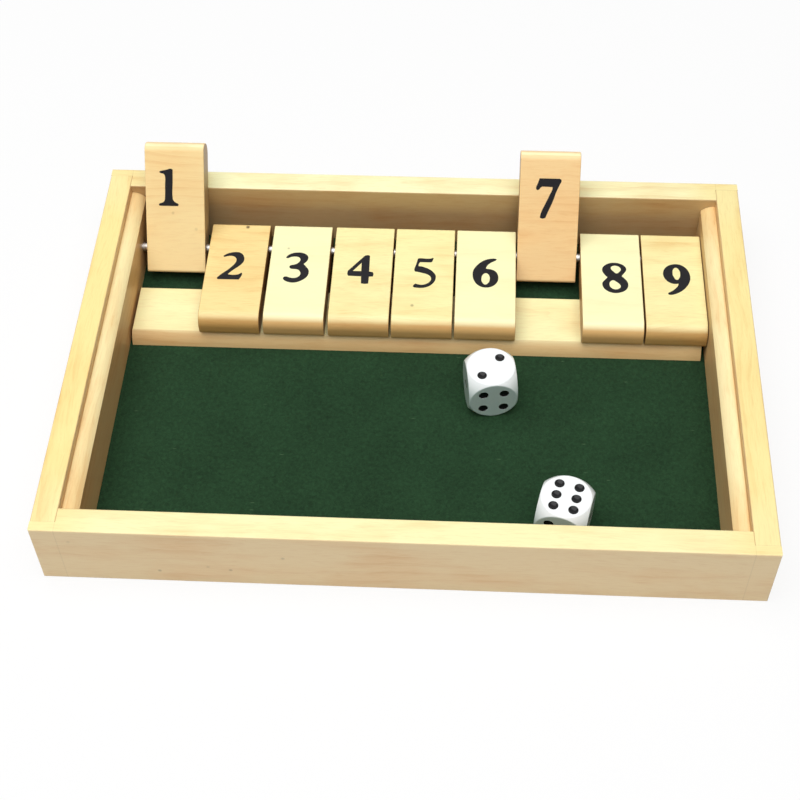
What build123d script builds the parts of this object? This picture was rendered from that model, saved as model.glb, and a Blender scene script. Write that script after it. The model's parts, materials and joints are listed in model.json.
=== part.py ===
from build123d import *
import math
import os

os.makedirs("parts", exist_ok=True)

# Shut the box game: an open wooden tray lined with felt, nine numbered tiles that turn on one
# steel rod at the back, a bar that the lowered tiles rest on, and two dice on the felt.
#
# Millimetres, +Z up. The origin is on the table, under the middle of the tray. X runs along the
# row of tiles, with tile 1 at -X. Y runs to the back, so the player sits at -Y.

# ---- driving dimensions: tray ----
TRAY_WIDTH = 220.0           # along X, outside
TRAY_DEPTH = 153.4           # along Y, outside
TRAY_HEIGHT = 25.5
SIDE_BOARD = 7.7             # thickness of the left and right boards
END_BOARD = 8.4              # thickness of the front and back boards
CORNER_LIP = 3.3             # what is left of an end board in front of a side board's end
EASED_EDGE = 0.5             # sanded edges of the boards

BASE_THICKNESS = 2.0
BASE_REBATE = 3.0            # how far the base panel is let into the boards
BASE_PLAY = 0.1              # round the base panel in its rebate
FELT_THICKNESS = 0.4

# ---- driving dimensions: side strips, bar and rod ----
STRIP_THICKNESS = 4.8        # along X
STRIP_SHOULDER = 20.3        # height where the rounding of the top starts, on the inner side
STRIP_CROWN = 22.5           # highest point of the rounded top
STRIP_CROWN_IN = 3.9         # of the crown, from the inner face
STRIP_BULGE = (1.8, 1.5)     # a point of the rounding, inward and up from the shoulder
STRIP_OUTER_ROUND = 0.4      # edge beside the side board
STRIP_END_PLAY = 0.1

BAR_LEFT_END = -96.6         # X of its left end
BAR_LENGTH = 192.7
BAR_DEPTH = 22.3             # along Y
BAR_THICKNESS = 4.7
BAR_FRONT = 14.9             # Y of the foot of the rounded front
BAR_NOSE = 3.1               # how far the rounded front reaches back at the top
BAR_NOSE_BULGE = (1.2, 2.6)  # a point of the rounding, from the foot of the front
BAR_EASED_EDGE = 0.4

ROD_DIAMETER = 3.2
ROD_Y = 52.65
ROD_CHAMFER = 0.3
ROD_END_PLAY = 0.1           # between each rod end and the board behind it
ROD_STRIP_PLAY = 0.03        # radial, in the strips
ROD_TILE_PLAY = 0.05         # radial, in the tiles

# ---- driving dimensions: number tiles ----
TILE_WIDTH = 20.5            # along X
TILE_THICKNESS = 8.5
TILE_TAIL = 8.2              # from the rod to the pivot end
TILE_REACH = 36.7            # from the rod to the free end
TILE_FREE_ROUND = 4.4        # edge of the free end that is on top when the tile lies
TILE_FREE_FOOT_ROUND = 2.6   # edge of the free end below it
TILE_TAIL_ROUND = 1.0        # both edges of the pivot end
TILE_EASED_EDGE = 0.3        # edges of the two side faces
# Free play on the rod, from the left strip to tile 1, between the tiles, and up to the right strip.
TILE_GAPS = (2.25, 1.6, 1.35, 1.35, 0.7, 0.7, 0.45, 1.3, 0.55, 0.25)
RAISED_TILES = (1, 7)        # the tiles that lean back on the rear board at rest
TILE_LEAN_PLAY = 0.3         # between a raised tile and the eased edge it leans on

# ---- driving dimensions: dice ----
DIE_SIZE = 16.0
DIE_BALL = 22.2              # diameter of the ball that rounds the corners
DIE_EASED_EDGE = 0.5         # between the flat faces and the ball
PIP_DIAMETER = 3.2
PIP_DEPTH = 0.55
PIP_PITCH = 3.35             # from the middle of a face to its outer pips
SIX_ROW = 4.2                # between the rows of the six
SIX_COLUMN = 3.1             # of the six's two columns, from the middle of the face
# Each die: X and Y of its middle, its turn about Z in degrees, and the number on every face.
DICE = {
    "die_1": (25.4, -3.3, 8.7, {"top": 2, "bottom": 5, "front": 4, "back": 3, "left": 1, "right": 6}),
    "die_2": (48.8, -53.4, -14.0, {"top": 6, "bottom": 1, "front": 4, "back": 3, "left": 2, "right": 5}),
}

# ---- worked out from them ----
HALF_WIDTH = TRAY_WIDTH / 2
HALF_DEPTH = TRAY_DEPTH / 2
INNER_X = HALF_WIDTH - SIDE_BOARD          # inner face of a side board
INNER_Y = HALF_DEPTH - END_BOARD           # inner face of an end board
STRIP_X = INNER_X - STRIP_THICKNESS        # inner face of a side strip
FELT_TOP = BASE_THICKNESS + FELT_THICKNESS
BAR_TOP = FELT_TOP + BAR_THICKNESS
ROD_Z = BAR_TOP + TILE_THICKNESS / 2       # so that a lowered tile lies flat on the bar


def lean_angle():
    """Turn of a tile, from lying to leaning on the inner top edge of the rear board, in degrees."""
    arc_back = INNER_Y + EASED_EDGE - ROD_Y
    arc_up = TRAY_HEIGHT - EASED_EDGE - ROD_Z
    arc_distance = math.hypot(arc_back, arc_up)
    rod_to_arc_middle = TILE_THICKNESS / 2 + TILE_LEAN_PLAY + EASED_EDGE
    past_upright = math.acos(rod_to_arc_middle / arc_distance) - math.atan2(arc_up, arc_back)
    return 90 + math.degrees(past_upright)


LEAN = lean_angle()


def save(part, name):
    """Labels a finished piece and writes it as a STEP file of that name."""
    part.label = name
    export_step(part, f"parts/{name}.step")


# ---- tray boards ----
def end_board(front):
    """Front or rear board: full width, with a corner rebate at each end for the side boards."""
    outer_y = -HALF_DEPTH if front else HALF_DEPTH
    inward = 1 if front else -1
    with BuildPart() as board:
        with BuildSketch(Plane.XY):
            with Locations((0, outer_y + inward * END_BOARD / 2)):
                Rectangle(TRAY_WIDTH, END_BOARD)
            corner_y = outer_y + inward * (CORNER_LIP + END_BOARD) / 2
            corner_x = HALF_WIDTH - SIDE_BOARD / 2
            with Locations((-corner_x, corner_y), (corner_x, corner_y)):
                Rectangle(SIDE_BOARD, END_BOARD - CORNER_LIP, mode=Mode.SUBTRACT)
        extrude(amount=TRAY_HEIGHT)
        with BuildSketch(Plane.XY):
            with Locations((0, outer_y + inward * (END_BOARD - BASE_REBATE / 2))):
                Rectangle(2 * INNER_X, BASE_REBATE)
        extrude(amount=BASE_THICKNESS, mode=Mode.SUBTRACT)
        outer_face = board.faces().filter_by(Axis.Y).sort_by(Axis.Y)[0 if front else -1]
        top_face = board.faces().sort_by(Axis.Z)[-1]
        inner_edge = top_face.edges().filter_by(Axis.X).filter_by(
            lambda edge: edge.length > TRAY_WIDTH - 2 * SIDE_BOARD - 1
        ).sort_by(Axis.Y)[-1 if front else 0]
        fillet(outer_face.edges() + ShapeList([inner_edge]), radius=EASED_EDGE)
    return board.part


def side_board(left):
    """Left or right board, whose ends stand in the corner rebates of the end boards."""
    outer_x = -HALF_WIDTH if left else HALF_WIDTH
    inward = 1 if left else -1
    length = TRAY_DEPTH - 2 * CORNER_LIP
    with BuildPart() as board:
        with BuildSketch(Plane.XY):
            with Locations((outer_x + inward * SIDE_BOARD / 2, 0)):
                Rectangle(SIDE_BOARD, length)
        extrude(amount=TRAY_HEIGHT)
        with BuildSketch(Plane.XY):
            with Locations((outer_x + inward * (SIDE_BOARD - BASE_REBATE / 2), 0)):
                Rectangle(BASE_REBATE, 2 * (INNER_Y + BASE_REBATE))
        extrude(amount=BASE_THICKNESS, mode=Mode.SUBTRACT)
        top_edges = board.faces().sort_by(Axis.Z)[-1].edges().filter_by(Axis.Y)
        outer_face = board.faces().filter_by(Axis.X).sort_by(Axis.X)[0 if left else -1]
        foot_edge = outer_face.edges().filter_by(Axis.Y).sort_by(Axis.Z)[0]
        fillet(top_edges + ShapeList([foot_edge]), radius=EASED_EDGE)
    return board.part


save(end_board(front=True), "front_wall")
save(end_board(front=False), "back_wall")
save(side_board(left=True), "left_wall")
save(side_board(left=False), "right_wall")

# ---- base panel, let into the boards from below ----
with BuildPart() as base_panel:
    with BuildSketch(Plane.XY):
        panel_width = 2 * (INNER_X + BASE_REBATE - BASE_PLAY)
        panel_depth = 2 * (INNER_Y + BASE_REBATE - BASE_PLAY)
        Rectangle(panel_width, panel_depth)
    extrude(amount=BASE_THICKNESS)
save(base_panel.part, "base_panel")

# ---- felt, glued on the base panel from board to board ----
with BuildPart() as felt_lining:
    with BuildSketch(Plane.XY.offset(BASE_THICKNESS)):
        Rectangle(2 * INNER_X, 2 * INNER_Y)
    extrude(amount=FELT_THICKNESS)
save(felt_lining.part, "felt_lining")


# ---- side strips, which carry the rod ----
def side_strip(left):
    """Strip with a rounded top along a side board, bored for the rod."""
    side = -1 if left else 1
    half_length = INNER_Y - STRIP_END_PLAY
    shoulder = (side * STRIP_X, STRIP_SHOULDER)
    crown = (side * (STRIP_X + STRIP_CROWN_IN), STRIP_CROWN)
    bulge = (side * (STRIP_X + STRIP_BULGE[0]), STRIP_SHOULDER + STRIP_BULGE[1])
    outer_top = (side * INNER_X, STRIP_CROWN)
    outer_foot = (side * INNER_X, FELT_TOP)
    inner_foot = (side * STRIP_X, FELT_TOP)
    with BuildPart() as strip:
        with BuildSketch(Plane.XZ.offset(-half_length)):
            with BuildLine():
                Polyline(crown, outer_top, outer_foot, inner_foot, shoulder)
                ThreePointArc(shoulder, bulge, crown)
            make_face()
        extrude(amount=2 * half_length)
        outer_edge = strip.edges().filter_by(Axis.Y).filter_by(
            lambda edge: abs(edge.center().X - side * INNER_X) < 0.01
        ).sort_by(Axis.Z)[-1]
        fillet(outer_edge, radius=STRIP_OUTER_ROUND)
        with BuildSketch(Plane.YZ.offset(side * (STRIP_X + STRIP_THICKNESS / 2))):
            with Locations((ROD_Y, ROD_Z)):
                Circle(ROD_DIAMETER / 2 + ROD_STRIP_PLAY)
        extrude(amount=STRIP_THICKNESS, both=True, mode=Mode.SUBTRACT)
    return strip.part


save(side_strip(left=True), "left_strip")
save(side_strip(left=False), "right_strip")

# ---- bar that the free ends of the lowered tiles rest on ----
with BuildPart() as rest_bar:
    bar_back = BAR_FRONT + BAR_DEPTH
    nose_foot = (BAR_FRONT, FELT_TOP)
    nose_bulge = (BAR_FRONT + BAR_NOSE_BULGE[0], FELT_TOP + BAR_NOSE_BULGE[1])
    nose_top = (BAR_FRONT + BAR_NOSE, BAR_TOP)
    with BuildSketch(Plane.YZ.offset(BAR_LEFT_END)):
        with BuildLine():
            ThreePointArc(nose_foot, nose_bulge, nose_top)
            Polyline(nose_top, (bar_back, BAR_TOP), (bar_back, FELT_TOP), nose_foot)
        make_face()
    extrude(amount=BAR_LENGTH)
    rear_edge = rest_bar.edges().filter_by(Axis.X).group_by(Axis.Z)[-1].sort_by(Axis.Y)[-1]
    end_top_edges = rest_bar.edges().filter_by(Axis.Y).group_by(Axis.Z)[-1]
    fillet(end_top_edges + ShapeList([rear_edge]), radius=BAR_EASED_EDGE)
save(rest_bar.part, "rest_bar")

# ---- steel rod through the strips and all nine tiles ----
with BuildPart() as pivot_rod:
    rod_half_length = INNER_X - ROD_END_PLAY
    with BuildSketch(Plane.YZ.offset(-rod_half_length)):
        with Locations((ROD_Y, ROD_Z)):
            Circle(ROD_DIAMETER / 2)
    extrude(amount=2 * rod_half_length)
    chamfer(pivot_rod.edges().filter_by(GeomType.CIRCLE), length=ROD_CHAMFER)
save(pivot_rod.part, "pivot_rod")


# ---- number tiles ----
def number_tile(left_x, turn):
    """One tile on the rod, turned up by `turn` degrees from lying on the bar."""
    angle = math.radians(turn)
    free_way = (0, -math.cos(angle), math.sin(angle))
    section = Plane(origin=(left_x, ROD_Y, ROD_Z), x_dir=free_way, z_dir=(1, 0, 0))
    with BuildPart() as tile:
        with BuildSketch(section):
            with Locations(((TILE_REACH - TILE_TAIL) / 2, 0)):
                Rectangle(TILE_REACH + TILE_TAIL, TILE_THICKNESS)
            fillet(vertices().group_by(Axis.X)[-1].sort_by(Axis.Y)[0], radius=TILE_FREE_ROUND)
            fillet(vertices().group_by(Axis.X)[-1].sort_by(Axis.Y)[-1], radius=TILE_FREE_FOOT_ROUND)
            fillet(vertices().group_by(Axis.X)[0], radius=TILE_TAIL_ROUND)
        extrude(amount=TILE_WIDTH)
        side_faces = tile.faces().sort_by(Axis.X)
        fillet(side_faces[0].edges() + side_faces[-1].edges(), radius=TILE_EASED_EDGE)
        with BuildSketch(section):
            Circle(ROD_DIAMETER / 2 + ROD_TILE_PLAY)
        extrude(amount=TILE_WIDTH, mode=Mode.SUBTRACT)
    return tile.part


tile_left = -STRIP_X
for number in range(1, 10):
    tile_left += TILE_GAPS[number - 1]
    save(number_tile(tile_left, LEAN if number in RAISED_TILES else 0), f"number_tile_{number}")
    tile_left += TILE_WIDTH


# ---- dice ----
def pip_spots(number):
    """Places of the pips of one face, from its middle."""
    spots = []
    if number % 2:
        spots.append((0, 0))
    if number >= 2:
        spots += [(-PIP_PITCH, -PIP_PITCH), (PIP_PITCH, PIP_PITCH)]
    if number >= 4:
        spots += [(-PIP_PITCH, PIP_PITCH), (PIP_PITCH, -PIP_PITCH)]
    if number == 6:
        spots = [(column, row) for column in (-SIX_COLUMN, SIX_COLUMN) for row in (-SIX_ROW, 0, SIX_ROW)]
    return spots


def die(x, y, turn, numbers):
    """One die on the felt: a cube with ball-rounded corners and a shallow round dimple per pip."""
    middle = Plane((x, y, FELT_TOP + DIE_SIZE / 2)).rotated((0, 0, turn))
    pip_ball = (PIP_DIAMETER ** 2 / 4 + PIP_DEPTH ** 2) / (2 * PIP_DEPTH)
    pip_middle = DIE_SIZE / 2 + pip_ball - PIP_DEPTH
    side_turns = {
        "top": (0, 0, 0),
        "bottom": (180, 0, 0),
        "front": (90, 0, 0),
        "back": (-90, 0, 0),
        "left": (0, -90, 0),
        "right": (0, 90, 0),
    }
    with BuildPart(middle) as cube:
        Box(DIE_SIZE, DIE_SIZE, DIE_SIZE)
        Sphere(DIE_BALL / 2, mode=Mode.INTERSECT)
        fillet(cube.edges().filter_by(GeomType.CIRCLE), radius=DIE_EASED_EDGE)
        for side, number in numbers.items():
            with Locations(Location((0, 0, 0), side_turns[side])):
                with Locations([(across, up, pip_middle) for across, up in pip_spots(number)]):
                    Sphere(pip_ball, mode=Mode.SUBTRACT)
    return cube.part


for die_name, (die_x, die_y, die_turn, die_numbers) in DICE.items():
    save(die(die_x, die_y, die_turn, die_numbers), die_name)
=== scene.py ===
import json
import math

import bmesh
import bpy
from bpy.props import FloatProperty, FloatVectorProperty, IntProperty, PointerProperty
from mathutils import Matrix, Vector, noise


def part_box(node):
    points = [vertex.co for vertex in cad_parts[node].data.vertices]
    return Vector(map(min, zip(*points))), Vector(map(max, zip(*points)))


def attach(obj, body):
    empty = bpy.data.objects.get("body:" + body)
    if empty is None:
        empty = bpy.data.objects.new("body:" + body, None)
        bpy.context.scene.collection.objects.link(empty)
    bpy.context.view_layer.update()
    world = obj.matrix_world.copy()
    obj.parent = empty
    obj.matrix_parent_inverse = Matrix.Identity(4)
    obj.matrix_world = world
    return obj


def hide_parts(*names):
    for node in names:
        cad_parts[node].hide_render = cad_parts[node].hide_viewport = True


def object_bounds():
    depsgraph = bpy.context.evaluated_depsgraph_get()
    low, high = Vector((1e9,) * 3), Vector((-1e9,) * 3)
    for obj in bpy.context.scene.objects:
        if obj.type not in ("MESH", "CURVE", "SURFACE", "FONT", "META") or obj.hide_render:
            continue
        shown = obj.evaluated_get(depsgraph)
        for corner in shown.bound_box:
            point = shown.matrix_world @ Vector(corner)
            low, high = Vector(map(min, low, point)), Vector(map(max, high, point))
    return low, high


bl_info = {
    "name": "Shut the box game",
    "version": (1, 0, 0),
    "blender": (4, 5, 0),
    "location": "3D View > Sidebar > Shut the Box",
    "description": "Finishes the wooden dice game: lacquered wood, stamped numerals, felt, steel and dice",
    "category": "Object",
}

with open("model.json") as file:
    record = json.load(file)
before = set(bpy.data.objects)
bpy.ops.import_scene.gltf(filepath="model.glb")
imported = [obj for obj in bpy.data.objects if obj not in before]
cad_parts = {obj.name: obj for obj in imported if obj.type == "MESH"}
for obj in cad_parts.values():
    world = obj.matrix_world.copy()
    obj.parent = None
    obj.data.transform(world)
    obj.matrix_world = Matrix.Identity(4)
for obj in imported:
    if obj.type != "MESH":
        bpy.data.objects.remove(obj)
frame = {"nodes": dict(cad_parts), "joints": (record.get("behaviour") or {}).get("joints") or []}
NODES = frame["nodes"]
CAD_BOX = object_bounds()
MM = 0.001

HINGES = {joint["child"]: joint for joint in frame["joints"] if joint["type"] == "hinge"}
TILE_NUMBERS = range(1, 10)
FELT_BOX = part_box("felt_lining")
TILE_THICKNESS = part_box("number_tile_2")[1].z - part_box("number_tile_2")[0].z

# half the width and half the depth of the tray, in mm
HALF_WIDTH = CAD_BOX[1][0] / MM
HALF_DEPTH = CAD_BOX[1][1] / MM


# ---- colour, nodes and objects ----
def linear(hex_colour):
    """The linear colour of an sRGB hex value."""
    channels = (int(hex_colour[i : i + 2], 16) / 255 for i in (0, 2, 4))
    return tuple(c / 12.92 if c <= 0.04045 else ((c + 0.055) / 1.055) ** 2.4 for c in channels)


def add(tree, kind, inputs=None, **settings):
    """Adds a node with its settings; each input is a value or the socket that it is linked from."""
    made = tree.nodes.new(kind)
    for name, value in settings.items():
        setattr(made, name, value)
    for key, value in (inputs or {}).items():
        if isinstance(value, bpy.types.NodeSocket):
            tree.links.new(value, made.inputs[key])
        else:
            made.inputs[key].default_value = value
    return made


def new_material(name):
    """An empty node material and its output."""
    material = bpy.data.materials.new(name)
    material.use_nodes = True
    material.node_tree.nodes.clear()
    return material, material.node_tree, material.node_tree.nodes.new("ShaderNodeOutputMaterial")


def new_piece(name, mesh, body, material):
    """A mesh of this game as an object that rides on a CAD body."""
    piece = bpy.data.objects.new(name, mesh)
    bpy.context.scene.collection.objects.link(piece)
    mesh.materials.append(material)
    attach(piece, body)
    return piece


def give(node, material):
    """Puts a finish on a CAD node."""
    slots = NODES[node].data.materials
    slots.clear()
    slots.append(material)


# ---- settings ----
class WoodSettings(bpy.types.PropertyGroup):
    """How the lacquered wood looks."""

    ring_spacing: FloatProperty(
        name="Ring spacing", description="Between two growth rings", default=2.8 * MM, min=0.5 * MM,
        unit="LENGTH",
    )
    fibre_width: FloatProperty(
        name="Fibre width", description="Across one dash of the grain", default=0.5 * MM, min=0.1 * MM,
        unit="LENGTH",
    )
    fibre_length: FloatProperty(
        name="Fibre length", description="Along one dash of the grain", default=7 * MM, min=MM,
        unit="LENGTH",
    )
    roughness: FloatProperty(
        name="Roughness", description="Of the satin lacquer", default=0.42, min=0.0, max=1.0,
        subtype="FACTOR",
    )


class NumeralSettings(bpy.types.PropertyGroup):
    """How the numerals are stamped."""

    ink_height: FloatProperty(
        name="Ink height", description="How far the ink stands proud", default=0.03 * MM, min=0.01 * MM,
        unit="LENGTH",
    )
    ink_colour: FloatVectorProperty(
        name="Ink colour", description="Of the stamped ink", size=3, subtype="COLOR", min=0.0, max=1.0,
        default=linear("100F13"),
    )
    shut_foot: FloatProperty(
        name="Foot on the shut face", description="From the rod to the foot of the numeral on a lying tile",
        default=20 * MM, unit="LENGTH",
    )
    open_foot: FloatProperty(
        name="Foot on the open face", description="From the rod to the foot of the numeral on a raised tile",
        default=14 * MM, unit="LENGTH",
    )


class FeltSettings(bpy.types.PropertyGroup):
    """How the felt looks."""

    colour: FloatVectorProperty(
        name="Felt colour", description="Of the dyed fibres", size=3, subtype="COLOR", min=0.0, max=1.0,
        default=linear("1F3923"),
    )
    columns: IntProperty(
        name="Columns", description="Cells of the nap along the row of tiles", default=170, min=20
    )
    nap: FloatProperty(
        name="Nap", description="Depth of the uneven surface", default=0.1 * MM, min=0.0, unit="LENGTH"
    )


class DiceSettings(bpy.types.PropertyGroup):
    """How the dice look."""

    body_colour: FloatVectorProperty(
        name="Body colour", description="Of the moulded plastic", size=3, subtype="COLOR",
        min=0.0, max=1.0, default=linear("F8FCFC"),
    )
    pip_colour: FloatVectorProperty(
        name="Pip colour", description="Of the paint in the dimples", size=3, subtype="COLOR",
        min=0.0, max=1.0, default=linear("101012"),
    )


class StageSettings(bpy.types.PropertyGroup):
    """Camera, lamp and floor."""

    camera: FloatVectorProperty(
        name="Camera", description="Where the camera stands", size=3, subtype="TRANSLATION",
        unit="LENGTH", default=(0.01656, -0.31948, 0.40168),
    )
    aim: FloatVectorProperty(
        name="Aim", description="The point on the table that the camera looks at", size=3,
        subtype="TRANSLATION", unit="LENGTH", default=(-0.00427, -0.00376, 0.0),
    )
    roll: FloatProperty(
        name="Roll", description="Turn of the camera about its line of sight", default=math.radians(1.25),
        subtype="ANGLE",
    )
    lens: FloatProperty(
        name="Lens", description="Focal length on a 36 mm sensor, in mm", default=69.07, min=10.0
    )
    lamp: FloatVectorProperty(
        name="Lamp", description="Where the softbox hangs", size=3, subtype="TRANSLATION",
        unit="LENGTH", default=(-0.1, -0.16, 1.0),
    )
    lamp_size: FloatVectorProperty(
        name="Lamp size", description="Width and depth of the softbox", size=2, subtype="TRANSLATION",
        unit="LENGTH", default=(1.4, 1.1),
    )
    lamp_power: FloatProperty(
        name="Lamp power", description="Of the softbox, in watts", default=15.2, min=0.0
    )
    room_light: FloatProperty(
        name="Room light", description="Strength of the plain room round the object", default=0.1, min=0.0
    )
    floor_size: FloatProperty(
        name="Floor size", description="Length of the table top", default=6.0, min=1.0, unit="LENGTH"
    )


SETTINGS = {
    "wood": WoodSettings,
    "numerals": NumeralSettings,
    "felt": FeltSettings,
    "dice": DiceSettings,
    "stage": StageSettings,
}


def settings():
    """The game's settings on the scene."""
    return bpy.context.scene.shut_the_box


# ---- wood ----
# the ring, cloud and end tints are the wood's own; the tiles' end tint is darker than end grain alone and
# also paints the shade in the narrow gaps between the tiles
RING_TINT, CLOUD_TINT, END_TINT, TILE_END_TINT_AND_GAP_SHADE = "D9A867", "F0B878", "C2AB90", "9C8F89"
MARK_COLOUR = "4A2E18"

# how level a surface must be for the first and for the whole of the paler colour, which is painted light
# from above on level wood: on a lying face, on the upper end of a raised tile, and on the rounded crown of a
# strip
PAINTED_LIGHT_ON_FACE, PAINTED_LIGHT_ON_END, PAINTED_LIGHT_ON_CROWN = (0.62, 0.95), (0.94, 0.985), (0.3, 0.75)


def growth_rings(tree, board, clouds, spacing):
    """Growth rings: the distance from the pith, which lies along the grain below the board, bent by slow
    waves, and shown only where the clouds let them through. Gives the rings and the bent board."""
    wave_mm, wave_height, noise_middle = (60, 20, 20), 9.0, (0.5, 0.5, 0.5)
    across, pith_mm = (0, 1, 1), (0, -34, 61)
    slow = add(tree, "ShaderNodeVectorMath", {0: board.outputs[0], 1: wave_mm}, operation="DIVIDE")
    bend = add(tree, "ShaderNodeTexNoise", {0: slow.outputs[0], "Scale": 1.0, "Detail": 3.0})
    bend = add(
        tree, "ShaderNodeVectorMath", {0: bend.outputs["Color"], 1: noise_middle}, operation="SUBTRACT"
    )
    bend = add(tree, "ShaderNodeVectorMath", {0: bend.outputs[0], "Scale": wave_height}, operation="SCALE")
    bent = add(tree, "ShaderNodeVectorMath", {0: board.outputs[0], 1: bend.outputs[0]}, operation="ADD")
    pith = add(
        tree, "ShaderNodeVectorMath", {0: bent.outputs[0], 1: across, 2: pith_mm}, operation="MULTIPLY_ADD"
    )
    radius = add(tree, "ShaderNodeVectorMath", {0: pith.outputs[0]}, operation="LENGTH")
    ring = add(tree, "ShaderNodeMath", {0: radius.outputs["Value"], 1: spacing / MM}, operation="DIVIDE")
    ring = add(tree, "ShaderNodeMath", {0: ring.outputs[0]}, operation="FRACT")
    # a ring darkens over its outer half and ends sharply
    ring = add(
        tree, "ShaderNodeMapRange", {0: ring.outputs[0], "From Min": 0.4, "From Max": 0.95},
        interpolation_type="SMOOTHERSTEP",
    )
    there = add(tree, "ShaderNodeMapRange", {0: clouds.outputs["Fac"], "From Min": 0.42, "From Max": 0.68})
    ring = add(tree, "ShaderNodeMath", {0: ring.outputs[0], 1: there.outputs[0]}, operation="MULTIPLY")
    return ring, bent


def dark_marks(tree, board, place, mirrored, flecks, knots, seams):
    """How dark the marks are: flecks 0.5 to 1 mm across in some of the cells of a loose grid, pin knots,
    and the hairlines of glued joints."""
    cell_mm, seam_darkness = (14, 9, 9), 0.08
    cells = add(tree, "ShaderNodeVectorMath", {0: board.outputs[0], 1: cell_mm}, operation="DIVIDE")
    spots = add(tree, "ShaderNodeTexVoronoi", {0: cells.outputs[0], "Scale": 1.0, "Randomness": 1.0})
    spot = add(
        tree, "ShaderNodeMapRange",
        {0: spots.outputs["Distance"], "From Min": 0.02, "From Max": 0.07, "To Min": 0.6, "To Max": 0.0},
    )
    chosen = add(tree, "ShaderNodeSeparateColor", {0: spots.outputs["Color"]})
    chosen = add(tree, "ShaderNodeMath", {0: chosen.outputs[0], 1: flecks}, operation="LESS_THAN")
    dark = add(tree, "ShaderNodeMath", {0: spot.outputs[0], 1: chosen.outputs[0]}, operation="MULTIPLY")
    for centre, size, darkness in knots:
        away = add(
            tree, "ShaderNodeVectorMath", {0: place.outputs["Object"], 1: Vector(centre) * MM},
            operation="DISTANCE",
        )
        knot = add(
            tree, "ShaderNodeMapRange",
            {
                0: away.outputs["Value"], "From Min": 0.4 * size * MM, "From Max": 1.3 * size * MM,
                "To Min": darkness, "To Max": 0.0,
            },
        )
        dark = add(tree, "ShaderNodeMath", {0: dark.outputs[0], 1: knot.outputs[0]}, operation="MAXIMUM")
    for low, high in seams:
        inside = None
        for axis in range(2):
            middle, half = (low[axis] + high[axis]) / 2 * MM, (high[axis] - low[axis]) / 2 * MM
            near = add(
                tree, "ShaderNodeMath", {0: mirrored.outputs[axis], 1: middle, 2: half}, operation="COMPARE"
            )
            if inside:
                near = add(
                    tree, "ShaderNodeMath", {0: inside.outputs[0], 1: near.outputs[0]}, operation="MULTIPLY"
                )
            inside = near
        dark = add(
            tree, "ShaderNodeMath", {0: inside.outputs[0], 1: seam_darkness, 2: dark.outputs[0]},
            operation="MULTIPLY_ADD",
        )
    return dark


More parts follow.
